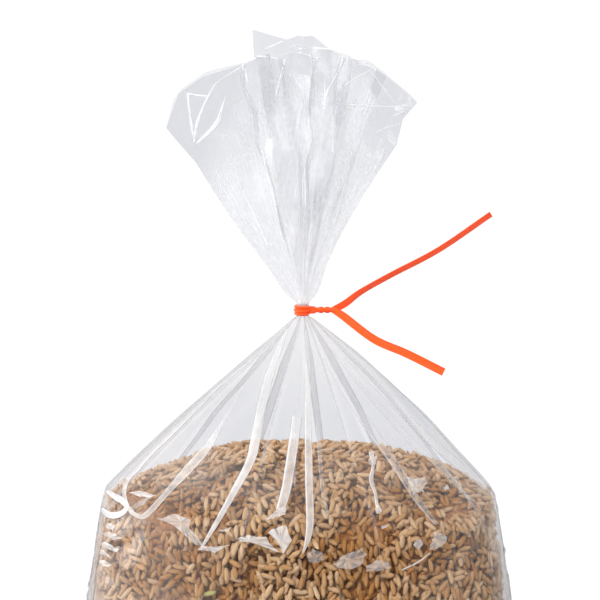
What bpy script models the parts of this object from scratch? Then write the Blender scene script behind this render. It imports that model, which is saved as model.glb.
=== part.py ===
"""A clear gusseted film bag of brown rice, its neck gathered and closed with an orange twist tie.

Metres, +Z up. The bag stands on z = 0 with the origin under the middle of its box, and its broad
front faces -Y. Three solids: the rice that fills the bag, the gathered film above the rice, and
the twist tie with its two free ends. An angle of 0 points along +X and turns towards +Y.
"""

import bisect
import math
import random

import bmesh
import bpy
from mathutils import Vector

# The filled part of the bag. Shares are of the belly's half width and half depth.
BELLY_HALF_WIDTH = 0.110
BELLY_HALF_DEPTH = 0.072
BELLY_HEIGHT = 0.040
BASE_SHARE = 0.90
SHOULDER_SHARE = 0.893
SHOULDER_HEIGHT = 0.136
SHOULDER_DROP = 0.008
SQUARENESS = 2.7
DOME_RISE = 0.026
DOME_POWER = 2.6
RICE_COLUMNS = 104
GRAIN_BUMP = 0.0012

# The gathered film between the rice and the tie.
CLEARANCE = 0.0003
FILM_LIP = 0.0022
NECK_HEIGHT = 0.230
NECK_RADIUS = 0.0032
NECK_HALF_LENGTH = 0.0032
NECK_X = 0.002
FILM_COLUMNS = 78
PLEATS = 13
TENT_PLEAT_DEPTH = 0.09

# The loose film above the tie: it spreads further to the left than to the right.
LEFT_SPREAD, LEFT_REACH, LEFT_POWER = 0.060, 0.090, 1.0
RIGHT_SPREAD, RIGHT_REACH, RIGHT_POWER = 0.050, 0.101, 1.12
DEPTH_SPREAD = 0.036
FLARE_PLEAT_DEPTH = 0.10
LEFT_EDGE, RIGHT_EDGE, MIDDLE_EDGE = 0.097, 0.101, 0.132
CORNER_PEAK, CORNER_ANGLE, CORNER_WIDTH = 0.0125, math.radians(121), math.radians(8)
MOUTH_DEPTH = 0.022

# The twist tie: a flat strip with a wire along its middle, wound round the neck and twisted.
TIE_WIDTH = 0.0040
TIE_THICKNESS = 0.00045
WIRE_RIDGE = 0.00018
WIRE_HALF_WIDTH = 0.0005
BAND_HALF_HEIGHT = 0.0025
BAND_THICKNESS = 0.0012
BAND_GROOVE = 0.0005
BAND_OPENING = math.radians(30)
TWIST_START = 0.0060
TWIST_LENGTH = 0.0095
TWIST_TURNS = 1.5
TWIST_WIDTH = 0.0030
STRAND_SPACING = 0.0013

RICE_COLOUR = (0.52, 0.33, 0.17)
FILM_COLOUR = (0.86, 0.88, 0.92)
TIE_COLOUR = (0.95, 0.13, 0.02)


def clear_scene():
    for thing in list(bpy.data.objects):
        bpy.data.objects.remove(thing, do_unlink=True)


def material(name, colour, roughness, alpha=1.0):
    made = bpy.data.materials.new(name)
    made.use_nodes = True
    shader = made.node_tree.nodes["Principled BSDF"]
    shader.inputs["Base Color"].default_value = (*colour, 1.0)
    shader.inputs["Roughness"].default_value = roughness
    shader.inputs["Metallic"].default_value = 0.0
    shader.inputs["Alpha"].default_value = alpha
    made.diffuse_color = (*colour, alpha)
    return made


def mix(start, end, share):
    return start + (end - start) * share


def smooth(value):
    value = min(1.0, max(0.0, value))
    return value * value * (3 - 2 * value)


def angles(count):
    return [2 * math.pi * step / count for step in range(count)]


def lofted(name, rings, finish, collection):
    """A closed solid through rings of points. A ring of one point is a pole of it."""
    shape = bmesh.new()
    grid = [[shape.verts.new(point) for point in ring] for ring in rings]
    for lower, upper in zip(grid, grid[1:]):
        for step in range(max(len(lower), len(upper))):
            corners = [
                lower[step % len(lower)],
                lower[(step + 1) % len(lower)],
                upper[(step + 1) % len(upper)],
                upper[step % len(upper)],
            ]
            shape.faces.new(dict.fromkeys(corners))
    for ring in (grid[0], grid[-1]):
        if len(ring) > 1:
            shape.faces.new(ring)
    bmesh.ops.recalc_face_normals(shape, faces=shape.faces)
    mesh = bpy.data.meshes.new(name)
    shape.to_mesh(mesh)
    shape.free()
    mesh.materials.append(finish)
    mesh.shade_smooth()
    part = bpy.data.objects.new(name, mesh)
    collection.objects.link(part)
    return part


def bag_outline(count):
    """Points spread evenly round the belly's section, a rectangle that the gussets round off."""
    fine = []
    for angle in angles(40 * count):
        across, deep = math.cos(angle), math.sin(angle)
        fine.append(
            Vector(
                (
                    BELLY_HALF_WIDTH * math.copysign(abs(across) ** (2 / SQUARENESS), across),
                    BELLY_HALF_DEPTH * math.copysign(abs(deep) ** (2 / SQUARENESS), deep),
                )
            )
        )
    lengths = [0.0]
    for here, there in zip(fine, [*fine[1:], fine[0]]):
        lengths.append(lengths[-1] + (there - here).length)
    outline = []
    for step in range(count):
        index = bisect.bisect_left(lengths, lengths[-1] * step / count)
        outline.append(fine[index % len(fine)])
    return outline


def film_level(point):
    """Where the film leaves the rice: highest at the gussets, lower at the front and the back."""
    return SHOULDER_HEIGHT - SHOULDER_DROP * (point.y / BELLY_HALF_DEPTH) ** 2


def side_ring(share, height, outline, bump=0.0, draw=None):
    """A ring of the filled bag's side, with grains that press the film out here and there."""
    ring = []
    for point in outline:
        push = draw.uniform(-bump, bump) if bump else 0.0
        place = point * share + point.normalized() * push
        ring.append(Vector((*place, height / SHOULDER_HEIGHT * film_level(point))))
    return ring


def heap_ring(share, outline, lift=0.0):
    """A ring of the heap's top, at this share of the way out from its middle to the shoulder."""
    ring = []
    for point in outline:
        rise = DOME_RISE * (1 - share**DOME_POWER)
        level = mix(SHOULDER_HEIGHT, film_level(point), share * share)
        ring.append(Vector((*point * share * SHOULDER_SHARE, level + rise + lift)))
    return ring


def heap_middle(lift=0.0):
    return [Vector((0, 0, SHOULDER_HEIGHT + DOME_RISE + lift))]


def build_rice(collection):
    """Flat base, rounded lower edge, belly, tapering sides and a heaped top."""
    draw = random.Random(7)
    outline = bag_outline(RICE_COLUMNS)
    corner_rings = 6
    side_rings = 17
    rings = [side_ring(BASE_SHARE, 0.0, outline)]
    for step in range(1, corner_rings + 1):
        turn = math.pi / 2 * step / corner_rings
        share = mix(BASE_SHARE, 1.0, math.sin(turn))
        height = BELLY_HEIGHT * (1 - math.cos(turn))
        bump = GRAIN_BUMP if step > 2 else 0.0
        rings.append(side_ring(share, height, outline, bump, draw))
    for step in range(1, side_rings):
        up = step / side_rings
        share = mix(1.0, SHOULDER_SHARE, up**1.5)
        height = mix(BELLY_HEIGHT, SHOULDER_HEIGHT, up)
        rings.append(side_ring(share, height, outline, GRAIN_BUMP, draw))
    for share in (1.0, *HEAP_SHARES):
        rings.append(heap_ring(share, outline))
    rings.append(heap_middle())
    return lofted("rice", rings, material("brown_rice", RICE_COLOUR, 0.55), collection)


def pleat(angle, depth):
    """Uneven folds round the film, as a factor on its radius."""
    main = math.cos(PLEATS * angle + 1.2 * math.sin(2 * angle))
    uneven = 0.4 * math.cos((PLEATS - 4) * angle + 0.7)
    return 1 + depth * (main + uneven)


def tent_ring(up):
    """A ring of the film that rises from the shoulder to the neck, up being its share of the way."""
    foot_lift = CLEARANCE + FILM_LIP
    top = NECK_HEIGHT - NECK_HALF_LENGTH
    ring = []
    feet = heap_ring(1.0, bag_outline(FILM_COLUMNS), foot_lift)
    for angle, foot in zip(angles(FILM_COLUMNS), feet):
        neck = Vector((NECK_X, 0, top)) + NECK_RADIUS * Vector(
            (math.cos(angle), math.sin(angle), 0)
        )
        point = foot.lerp(neck, up)
        middle = Vector((NECK_X * up, 0, point.z))
        folds = pleat(angle, TENT_PLEAT_DEPTH * up * (1 - up**6))
        ring.append(middle + (point - middle) * folds)
    return ring


def neck_ring(rise):
    return [
        Vector(
            (
                NECK_X + NECK_RADIUS * math.cos(angle),
                NECK_RADIUS * math.sin(angle),
                NECK_HEIGHT + rise,
            )
        )
        for angle in angles(FILM_COLUMNS)
    ]


def edge_rise(angle):
    """The bag's open edge stands high at the front and back and hangs low at both sides."""
    middle = abs(math.sin(angle))
    if math.cos(angle) > 0:
        edge = mix(RIGHT_EDGE, MIDDLE_EDGE, middle**2.1)
    else:
        edge = mix(LEFT_EDGE, MIDDLE_EDGE, middle**1.3)
    corner = math.exp(-(((angle - CORNER_ANGLE) / CORNER_WIDTH) ** 2))
    ruffle = 0.0025 * math.sin(5 * angle + 0.6) + 0.0015 * math.sin(11 * angle)
    return edge + CORNER_PEAK * corner + ruffle


def flare_half_width(angle, rise):
    """The film widens from the neck, and turns in a little above its widest."""
    if math.cos(angle) > 0:
        spread, reach, power = RIGHT_SPREAD, RIGHT_REACH, RIGHT_POWER
    else:
        spread, reach, power = LEFT_SPREAD, LEFT_REACH, LEFT_POWER
    above = max(0.0, rise - reach)
    return NECK_RADIUS + spread * (min(rise, reach) / reach) ** power - 0.35 * above


def flare_ring(up):
    """A ring of the loose film, up being its share of the way from the tie to the open edge."""
    ring = []
    for angle in angles(FILM_COLUMNS):
        rise = up * edge_rise(angle)
        half_depth = NECK_RADIUS + DEPTH_SPREAD * min(1.0, rise / RIGHT_REACH) ** 1.1
        folds = pleat(angle, FLARE_PLEAT_DEPTH * (1 - 0.4 * up))
        across = flare_half_width(angle, rise) * folds * math.cos(angle)
        deep = half_depth * folds * math.sin(angle)
        ring.append(Vector((NECK_X + across, deep, NECK_HEIGHT + NECK_HALF_LENGTH + rise)))
    return ring


def mouth_ring(share):
    """A ring of the crumpled film that closes the mouth, a little below the open edge."""
    bottom = mouth_bottom()[0]
    ring = []
    for rim in flare_ring(1.0):
        point = bottom.lerp(rim, share)
        point.z = mix(bottom.z, rim.z, share**2)
        ring.append(point)
    return ring


def mouth_bottom():
    middle_x = NECK_X + (RIGHT_SPREAD - LEFT_SPREAD) / 2
    return [Vector((middle_x, 0, NECK_HEIGHT + MIDDLE_EDGE - MOUTH_DEPTH))]


def build_film(collection):
    """Underside on the heap, lip at the shoulder, pleated tent, neck, flare and mouth."""
    outline = bag_outline(FILM_COLUMNS)
    rings = [heap_middle(CLEARANCE)]
    for share in (*reversed(HEAP_SHARES), 1.0):
        rings.append(heap_ring(share, outline, CLEARANCE))
    tent_rings = 9
    for step in range(tent_rings):
        rings.append(tent_ring(step / tent_rings))
    rings.append(neck_ring(-NECK_HALF_LENGTH))
    rings.append(neck_ring(NECK_HALF_LENGTH))
    flare_rings = 12
    for step in range(1, flare_rings + 1):
        rings.append(flare_ring(step / flare_rings))
    for share in (0.72, 0.4):
        rings.append(mouth_ring(share))
    rings.append(mouth_bottom())
    finish = material("clear_film", FILM_COLOUR, 0.12, alpha=0.45)
    return lofted("film_bag", rings, finish, collection)


def smooth_route(points, samples):
    """A smooth curve through the given points, as evenly spread samples."""
    ends = [points[0] * 2 - points[1], *points, points[-1] * 2 - points[-2]]
    found = []
    for before, start, end, after in zip(ends, ends[1:], ends[2:], ends[3:]):
        for step in range(samples):
            t = step / samples
            found.append(
                start
                + 0.5 * (end - before) * t
                + (before - 2.5 * start + 2 * end - 0.5 * after) * t**2
                + (1.5 * start - 0.5 * before - 1.5 * end + 0.5 * after) * t**3
            )
    return [*found, points[-1]]


def band_route():
    """One step after another round the neck: (place, facing, width, share of a wound band)."""
    steps = 34
    radius = NECK_RADIUS + CLEARANCE + TIE_THICKNESS / 2
    route = []
    for step in range(steps + 1):
        angle = mix(BAND_OPENING, 2 * math.pi - BAND_OPENING, step / steps)
        out = Vector((math.cos(angle), math.sin(angle), 0))
        wound = smooth(min(step, steps - step) / 4)
        place = Vector((NECK_X, 0, NECK_HEIGHT)) + out * radius
        route.append((place, out, mix(TWIST_WIDTH, TIE_WIDTH, wound), wound))
    return route


def strand_route(side):
    """One strand of the twist, back to back with the other and turning with it."""
    steps = 18
    route = []
    for step in range(steps + 1):
        turn = 2 * math.pi * TWIST_TURNS * step / steps
        out = side * Vector((0, math.cos(turn), math.sin(turn)))
        along = TWIST_START + TWIST_LENGTH * step / steps
        place = Vector((NECK_X + along, 0, NECK_HEIGHT)) + out * STRAND_SPACING / 2
        route.append((place, out, TWIST_WIDTH, 0.0))
    return route


def tail_route(strand, offsets, facing_end):
    """A free end that leaves its strand and turns to its own facing. Offsets start at the strand."""
    start, facing, _, _ = strand[-1]
    places = smooth_route([start + Vector(offset) for offset in offsets], 4)[1:]
    route = []
    for step, place in enumerate(places, 1):
        share = step / len(places)
        turned = facing.lerp(Vector(facing_end), smooth(share * 2))
        route.append((place, turned, mix(TWIST_WIDTH, TIE_WIDTH, smooth(share * 3)), 0.0))
    return route


def tie_section(width, wound):
    """(across, out) points of the strip, which the wound band covers in three uneven layers."""
    half, thin = width / 2, TIE_THICKNESS / 2
    ridge = thin + WIRE_RIDGE
    strip = [
        (-half, -thin),
        (half, -thin),
        (half, thin),
        (WIRE_HALF_WIDTH * 2, thin),
        (WIRE_HALF_WIDTH, ridge),
        (-WIRE_HALF_WIDTH, ridge),
        (-WIRE_HALF_WIDTH * 2, thin),
        (-half, thin),
    ]
    outer = BAND_THICKNESS - thin
    low = BAND_HALF_HEIGHT / 3
    band = [
        (-BAND_HALF_HEIGHT, -thin),
        (BAND_HALF_HEIGHT, -thin),
        (BAND_HALF_HEIGHT, outer - BAND_GROOVE / 2),
        (low * 1.2, outer - BAND_GROOVE),
        (low, outer),
        (-low, outer),
        (-low * 1.2, outer - BAND_GROOVE),
        (-BAND_HALF_HEIGHT, outer - BAND_GROOVE / 2),
    ]
    return [
        (mix(a[0], b[0], wound), mix(a[1], b[1], wound)) for a, b in zip(strip, band)
    ]


def build_tie(collection):
    """One strip from end to end: lower end, strand, band round the neck, strand, upper end."""
    first, second = strand_route(1), strand_route(-1)
    lower = tail_route(first, LOWER_END, (-0.25, -1.0, 0.2))
    upper = tail_route(second, UPPER_END, (-0.35, 0.8, 0.6))
    route = [*reversed(lower), *reversed(first), *band_route(), *second, *upper]
    rings = []
    for index, (place, facing, width, wound) in enumerate(route):
        ahead = route[min(index + 1, len(route) - 1)][0]
        behind = route[max(index - 1, 0)][0]
        along = (ahead - behind).normalized()
        across = facing.cross(along).normalized()
        out = along.cross(across)
        rings.append([place + across * a + out * b for a, b in tie_section(width, wound)])
    return lofted("twist_tie", rings, material("twist_tie_orange", TIE_COLOUR, 0.45), collection)


# The heap's rings, as shares of the way out, and the routes of the tie's two free ends.
HEAP_SHARES = (0.86, 0.68, 0.46, 0.22)
LOWER_END = (
    (0, 0, 0),
    (0.005, -0.002, -0.0030),
    (0.020, -0.008, -0.0135),
    (0.036, -0.012, -0.0200),
    (0.054, -0.016, -0.0285),
)
UPPER_END = (
    (0, 0, 0),
    (0.006, 0.002, 0.0030),
    (0.014, 0.005, 0.0085),
    (0.029, 0.008, 0.0165),
    (0.053, 0.010, 0.0290),
    (0.079, 0.010, 0.0470),
)

clear_scene()
parts = bpy.data.collections.new("rice_bag")
bpy.context.scene.collection.children.link(parts)
build_rice(parts)
build_film(parts)
build_tie(parts)
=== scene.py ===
import math

import bpy
import numpy as np
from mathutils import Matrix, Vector
from mathutils.bvhtree import BVHTree


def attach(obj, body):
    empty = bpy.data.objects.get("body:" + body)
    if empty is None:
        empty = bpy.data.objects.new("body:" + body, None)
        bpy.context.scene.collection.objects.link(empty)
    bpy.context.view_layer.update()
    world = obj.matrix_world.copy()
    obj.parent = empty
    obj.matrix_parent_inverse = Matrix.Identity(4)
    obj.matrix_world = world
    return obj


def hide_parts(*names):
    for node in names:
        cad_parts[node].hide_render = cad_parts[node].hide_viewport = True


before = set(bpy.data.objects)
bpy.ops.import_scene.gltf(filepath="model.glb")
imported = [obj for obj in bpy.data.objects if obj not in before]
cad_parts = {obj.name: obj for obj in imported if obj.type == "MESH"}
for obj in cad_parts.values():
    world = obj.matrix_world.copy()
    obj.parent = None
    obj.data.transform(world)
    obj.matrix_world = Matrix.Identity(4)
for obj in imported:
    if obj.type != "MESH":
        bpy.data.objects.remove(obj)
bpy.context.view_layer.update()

tau = 2 * math.pi

# the filled bag, in the frame's metres; shares are of the belly's half width and half depth
bag = {
    "halfWidth": 0.110, "halfDepth": 0.072, "squareness": 2.7,
    "bellyHeight": 0.040, "baseShare": 0.90,
    "shoulderHeight": 0.136, "shoulderShare": 0.893, "shoulderDrop": 0.008,
    "domeRise": 0.026, "domePower": 2.6,
    "neckX": 0.002, "neckHeight": 0.230, "neckRadius": 0.0032, "neckHalf": 0.0032,
}


def smooth(value):
    value = np.clip(value, 0.0, 1.0)
    return value * value * (3 - 2 * value)


def mix(start, end, share):
    return start + (end - start) * share


def squared(wave):
    return np.sign(wave) * np.abs(wave) ** (2 / bag["squareness"])


# one turn of the belly's outline, measured along its edge so that columns spread evenly
fineTurn = np.linspace(0, tau, 4001)
fineX = bag["halfWidth"] * squared(np.cos(fineTurn))
fineY = bag["halfDepth"] * squared(np.sin(fineTurn))
fineLength = np.concatenate([[0], np.cumsum(np.hypot(np.diff(fineX), np.diff(fineY)))])
girth = fineLength[-1]


def outlineAt(turn):
    # turn is 0 at +X, 0.25 at the back, 0.75 at the front; returns x and y on the belly
    along = np.mod(turn, 1.0) * girth
    return np.interp(along, fineLength, fineX), np.interp(along, fineLength, fineY)


def filmLevel(y):
    return bag["shoulderHeight"] - bag["shoulderDrop"] * (y / bag["halfDepth"]) ** 2


def sideShare(height):
    low = np.clip(height / bag["bellyHeight"], 0, 1)
    corner = mix(bag["baseShare"], 1.0, np.sqrt(np.clip(1 - (1 - low) ** 2, 0, 1)))
    up = np.clip((height - bag["bellyHeight"]) / (bag["shoulderHeight"] - bag["bellyHeight"]), 0, 1)
    return np.where(height < bag["bellyHeight"], corner, mix(1.0, bag["shoulderShare"], up ** 1.5))


def sidePoint(turn, height):
    x, y = outlineAt(turn)
    share = sideShare(height)
    level = height / bag["shoulderHeight"] * filmLevel(y)
    return np.stack([x * share, y * share, level + 0 * x], -1)


def heapPoint(turn, share):
    x, y = outlineAt(turn)
    rise = bag["domeRise"] * (1 - share ** bag["domePower"])
    level = mix(bag["shoulderHeight"], filmLevel(y), share ** 2)
    return np.stack([x * share * bag["shoulderShare"], y * share * bag["shoulderShare"], level + rise], -1)


# a lattice of random heights read between its knots: wobble for wrinkles, the same each run
def latticeNoise(seed, across, down, turn, height):
    draw = np.random.default_rng(seed)
    turn, height = np.broadcast_arrays(turn, height)
    table = draw.uniform(-1, 1, (down + 1, across))
    s = np.mod(turn, 1.0) * across
    t = np.clip(height, 0, 1) * down
    column, row = np.floor(s).astype(int), np.minimum(np.floor(t).astype(int), down - 1)
    acrossShare, downShare = smooth(s - column), smooth(t - row)
    here, following = column % across, (column + 1) % across
    first = mix(table[row, here], table[row, following], acrossShare)
    second = mix(table[row + 1, here], table[row + 1, following], acrossShare)
    return mix(first, second, downShare)


def ridged(value):
    return 1 - 2 * np.abs(value)


def deselect():
    for thing in bpy.context.selected_objects:
        thing.select_set(False)


def gridPiece(name, points):
    # a grid primitive whose vertices are moved onto rows of points, with each vertex's row and column
    deselect()
    rows, columns = points.shape[:2]
    bpy.ops.mesh.primitive_grid_add(x_subdivisions=columns - 1, y_subdivisions=rows - 1, size=2)
    piece = bpy.context.object
    piece.name = piece.data.name = name
    places = np.empty(len(piece.data.vertices) * 3)
    piece.data.vertices.foreach_get("co", places)
    places = places.reshape(-1, 3)
    column = np.rint((places[:, 0] + 1) / 2 * (columns - 1)).astype(int)
    row = np.rint((places[:, 1] + 1) / 2 * (rows - 1)).astype(int)
    piece.data.vertices.foreach_set("co", points[row, column].ravel())
    piece.data.update()
    return piece, row, column


def pointValues(piece, name, values):
    attribute = piece.data.attributes.new(name, "FLOAT", "POINT")
    attribute.data.foreach_set("value", np.asarray(values, np.float32))


def weld(piece, distance=1e-6):
    deselect()
    piece.select_set(True)
    bpy.context.view_layer.objects.active = piece
    bpy.ops.object.mode_set(mode="EDIT")
    bpy.ops.mesh.select_all(action="SELECT")
    bpy.ops.mesh.remove_doubles(threshold=distance)
    bpy.ops.mesh.normals_make_consistent(inside=False)
    bpy.ops.object.mode_set(mode="OBJECT")
    piece.data.shade_smooth()


# rice

grain = {
    "length": 0.0077, "width": 0.0027, "thickness": 0.0023, "sides": 6,
    "rings": ((-0.86, 0.52), (-0.50, 0.89), (0.0, 1.0), (0.50, 0.92), (0.87, 0.58)),
    "lengthSpread": 0.12, "widthSpread": 0.10,
    "bow": 0.00018, "closest": 0.0021, "cell": 0.0022, "lowest": 0.0007, "seed": 11,
}

riceHeap = {
    "baseShares": (0.02, 0.25, 0.5, 0.75), "columns": 180, "sideRows": 40, "topRows": 24,
    # darts, depth under the skin, tilt and name of each layer
    "layers": (
        (24000, 0.0018, 0.44, "outer"), (21000, 0.0031, 0.46, "second"), (15000, 0.0049, 0.46, "third"),
        (7000, 0.0067, 0.40, "fourth"),
    ),
    # pit sinks grains deeper, and pitShade paints them darker too: painted shade in the pits
    "cover": 0.0004, "upright": 0.75, "pit": 0.0046, "pitShade": 0.75, "pitSpread": (46, 13, 0.17),
    # deeper places low on the front, whose grains also take the pits' painted shade: x, height and size
    "hollows": (
        (0.034, 0.106, 0.013), (0.056, 0.118, 0.010), (0.020, 0.121, 0.007), (-0.052, 0.122, 0.008),
        (0.074, 0.128, 0.006),
    ),
    "kinds": (
        ("rice_tan", 0.19984), ("rice_golden", 0.19984), ("rice_pale", 0.19984), ("rice_brown", 0.19984),
        ("rice_straw", 0.19984), ("rice_green", 0.0008),
    ),
    "coreDepth": 0.0088, "coreLowest": 0.0015, "coreSeed": 5, "coreLumps": (90, 34, 0.010),
}


def grainShape():
    # a sphere primitive drawn out to a long grain, blunter at its germ end
    deselect()
    bands = len(grain["rings"]) + 1
    bpy.ops.mesh.primitive_uv_sphere_add(segments=grain["sides"], ring_count=bands, radius=1)
    shape = bpy.context.object
    places = np.array([vertex.co for vertex in shape.data.vertices])
    faces = [tuple(face.vertices) for face in shape.data.polygons]
    bpy.data.objects.remove(shape, do_unlink=True)
    level = np.rint((np.arcsin(np.clip(places[:, 2], -1, 1)) / math.pi + 0.5) * bands).astype(int)
    along = np.array([-1.0, *[ring[0] for ring in grain["rings"]], 1.0])[level]
    girthShare = np.array([0.0, *[ring[1] for ring in grain["rings"]], 0.0])[level]
    turn = np.arctan2(places[:, 1], places[:, 0])
    shaped = np.stack([
        along * grain["length"] / 2,
        np.cos(turn) * girthShare * grain["width"] / 2,
        np.sin(turn) * girthShare * grain["thickness"] / 2,
    ], -1)
    shaped[:, 1] += grain["bow"] * (0.5 - along ** 2)
    return shaped, faces, along


def riceSurface():
    # the heap's skin as rows of points: base, sides and domed top
    turn = np.linspace(0, 1, riceHeap["columns"] + 1)
    rows = [sidePoint(turn, 0.0) * np.array([share, share, 1]) for share in riceHeap["baseShares"]]
    heights = np.linspace(0, bag["shoulderHeight"], riceHeap["sideRows"])
    rows += [sidePoint(turn, height) for height in heights]
    rows += [heapPoint(turn, share) for share in np.linspace(1, 0.01, riceHeap["topRows"])]
    return np.array(rows)


def scatterOn(surface, draw, count, depth, tilt, bunch):
    # seeded darts on the skin; a dart stays where no grain of its bunch is too close
    a, b, c, d = surface[:-1, :-1], surface[:-1, 1:], surface[1:, :-1], surface[1:, 1:]
    corners = np.concatenate([
        np.stack([a, b, c], -2).reshape(-1, 3, 3),
        np.stack([b, d, c], -2).reshape(-1, 3, 3),
    ])
    cross = np.cross(corners[:, 1] - corners[:, 0], corners[:, 2] - corners[:, 0])
    area = np.linalg.norm(cross, axis=1)
    middle = corners.mean(axis=1)
    keep = np.where(middle[:, 2] < 0.004, 0.45, 1.0)
    chance = area * keep
    picks = draw.choice(len(corners), count, p=chance / chance.sum())
    s, t = draw.random(count), draw.random(count)
    flip = s + t > 1
    s[flip], t[flip] = 1 - s[flip], 1 - t[flip]
    tri = corners[picks]
    place = tri[:, 0] + (tri[:, 1] - tri[:, 0]) * s[:, None] + (tri[:, 2] - tri[:, 0]) * t[:, None]
    normal = cross[picks] / np.maximum(area[picks], 1e-12)[:, None]
    centre = np.array([0, 0, 0.08])
    outward = np.sign(np.sum((place - centre) * normal, axis=1))
    normal *= outward[:, None]
    across, down, tall = riceHeap["pitSpread"]
    turn = np.arctan2(place[:, 1], place[:, 0]) / tau
    pits = latticeNoise(grain["seed"] + 3, across, down, turn, place[:, 2] / tall)
    pits = np.clip(1.3 * pits + 0.15, 0, 1)
    for x, z, size in riceHeap["hollows"]:
        near = np.exp(-((place[:, 0] - x) ** 2 + (place[:, 2] - z) ** 2) / size ** 2) * (place[:, 1] < 0)
        pits = np.maximum(pits, near)
    place = place - normal * (depth + riceHeap["pit"] * pits)[:, None]
    spin = draw.uniform(0, tau, count)
    upright = riceHeap["upright"] * smooth((1 - np.abs(normal[:, 2])) / 0.4)
    spin += 0.5 * upright * np.sin(2 * spin)
    helper = np.where(np.abs(normal[:, 2:3]) < 0.9, np.array([[0, 0, 1.0]]), np.array([[1.0, 0, 0]]))
    side = np.cross(helper, normal)
    side /= np.linalg.norm(side, axis=1)[:, None]
    other = np.cross(normal, side)
    direction = side * np.cos(spin)[:, None] + other * np.sin(spin)[:, None]
    # a grain leans only so far that its tips stay under the film
    room = (depth + riceHeap["pit"] * pits - riceHeap["cover"]) / (grain["length"] / 2)
    furthest = np.arcsin(np.clip(room, 0.05, 1))
    lean = np.clip(draw.normal(0, tilt, count), -furthest, furthest)
    direction = direction * np.cos(lean)[:, None] + normal * np.sin(lean)[:, None]
    reach = grain["length"] / 2 - grain["width"] / 2
    knots = place[:, None] + direction[:, None] * np.array([-1, 0, 1])[None, :, None] * reach * 0.92
    cells = np.floor(knots / grain["cell"]).astype(int)
    taken = {}
    kept = []
    near = [(i, j, k) for i in (-1, 0, 1) for j in (-1, 0, 1) for k in (-1, 0, 1)]
    closest = grain["closest"] ** 2
    for index in range(count):
        free = True
        for knot, (i, j, k) in zip(knots[index].tolist(), cells[index].tolist()):
            for di, dj, dk in near:
                for other in taken.get((i + di, j + dj, k + dk), ()):
                    gap = (knot[0] - other[0]) ** 2 + (knot[1] - other[1]) ** 2 + (knot[2] - other[2]) ** 2
                    if gap < closest:
                        free = False
                        break
                if not free:
                    break
            if not free:
                break
        if free:
            kept.append(index)
            for knot, cell in zip(knots[index].tolist(), cells[index].tolist()):
                taken.setdefault(tuple(cell), []).append(knot)
    kept = np.array(kept)
    print("grains in the", bunch, "layer:", len(kept))
    return place[kept], direction[kept], normal[kept], pits[kept]


def grainPiece(name, places, directions, normals, pits, shape, faces, along, draw):
    # every grain of one kind as one mesh
    count, corners = len(places), len(shape)
    side = np.cross(normals, directions)
    side /= np.linalg.norm(side, axis=1)[:, None]
    up = np.cross(directions, side)
    stretch = 1 + draw.uniform(-grain["lengthSpread"], grain["lengthSpread"], count)
    fatten = 1 + draw.uniform(-grain["widthSpread"], grain["widthSpread"], count)
    local = (
        directions[:, None] * (shape[None, :, 0:1] * stretch[:, None, None])
        + side[:, None] * (shape[None, :, 1:2] * fatten[:, None, None])
        + up[:, None] * (shape[None, :, 2:3] * fatten[:, None, None])
    )
    points = places[:, None] + local
    below = grain["lowest"] - points[:, :, 2].min(axis=1)
    points[:, :, 2] += np.maximum(below, 0)[:, None]  # none under the bag's floor
    points = points.reshape(-1, 3)
    mesh = bpy.data.meshes.new(name)
    base = np.arange(count)[:, None]
    sizes = np.array([len(face) for face in faces])
    loops = np.concatenate([np.array(face) for face in faces])
    allLoops = (base * corners + loops[None, :]).ravel()
    mesh.vertices.add(len(points))
    mesh.vertices.foreach_set("co", points.ravel())
    mesh.loops.add(len(allLoops))
    mesh.loops.foreach_set("vertex_index", allLoops)
    mesh.polygons.add(count * len(faces))
    starts = np.concatenate([[0], np.cumsum(np.tile(sizes, count))[:-1]])
    mesh.polygons.foreach_set("loop_start", starts)
    mesh.update(calc_edges=True)
    mesh.validate()
    mesh.shade_smooth()
    piece = bpy.data.objects.new(name, mesh)
    bpy.context.scene.collection.objects.link(piece)
    # tone: random per grain, less the painted shade of grains sunk in pits
    pointValues(piece, "toneAndPitShade", np.repeat(draw.uniform(0.20, 1, count) - riceHeap["pitShade"] * pits, corners))
    pointValues(piece, "along", np.tile(along, count))
    return piece


def makeRice(materials):
    draw = np.random.default_rng(grain["seed"])
    surface = riceSurface()
    shape, faces, along = grainShape()
    layers = [scatterOn(surface, draw, *layer) for layer in riceHeap["layers"]]
    places, directions, normals, pits = (np.concatenate(found) for found in zip(*layers))
    ends = np.cumsum([kind[1] for kind in riceHeap["kinds"]]) * len(places)
    kinds = np.searchsorted(ends, draw.permutation(len(places)), side="right").clip(0, len(ends) - 1)
    pieces = []
    for index, (name, share) in enumerate(riceHeap["kinds"]):
        mine = kinds == index
        piece = grainPiece(
            name, places[mine], directions[mine], normals[mine], pits[mine], shape, faces, along, draw,
        )
        piece.data.materials.append(materials[name])
        pieces.append(piece)
        print(name, int(mine.sum()), "grains")
    return pieces


def makeCore(material):
    # what lies under the loose grains: the same heap, a few grains smaller
    depth = riceHeap["coreDepth"]
    rows = []
    for row in riceSurface():
        spread = np.hypot(row[:, 0], row[:, 1])[:, None]
        inward = np.clip(1 - depth / np.maximum(spread, 1e-6), 0.001, 1)
        moved = row.copy()
        moved[:, :2] *= inward
        rows.append(moved)
    points = np.array(rows)
    points[:, :, 2] = np.clip(points[:, :, 2], riceHeap["coreLowest"], None)
    top = len(riceHeap["baseShares"]) + riceHeap["sideRows"]
    points[top:, :, 2] -= depth * smooth(np.arange(len(points) - top) / 6)[:, None]
    across, down, size = riceHeap["coreLumps"]
    turn, height = np.linspace(0, 1, points.shape[1])[None, :], np.linspace(0, 1, len(points))[:, None]
    points[:, :, :2] *= 1 + size * latticeNoise(riceHeap["coreSeed"], across, down, turn, height)[..., None]
    points[:, -1] = points[:, 0]
    points[0] = points[0].mean(axis=0)
    points[-1] = points[-1].mean(axis=0)
    piece = gridPiece("rice_core", points)[0]
    weld(piece)
    piece.data.materials.append(material)
    return piece


# film

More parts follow.
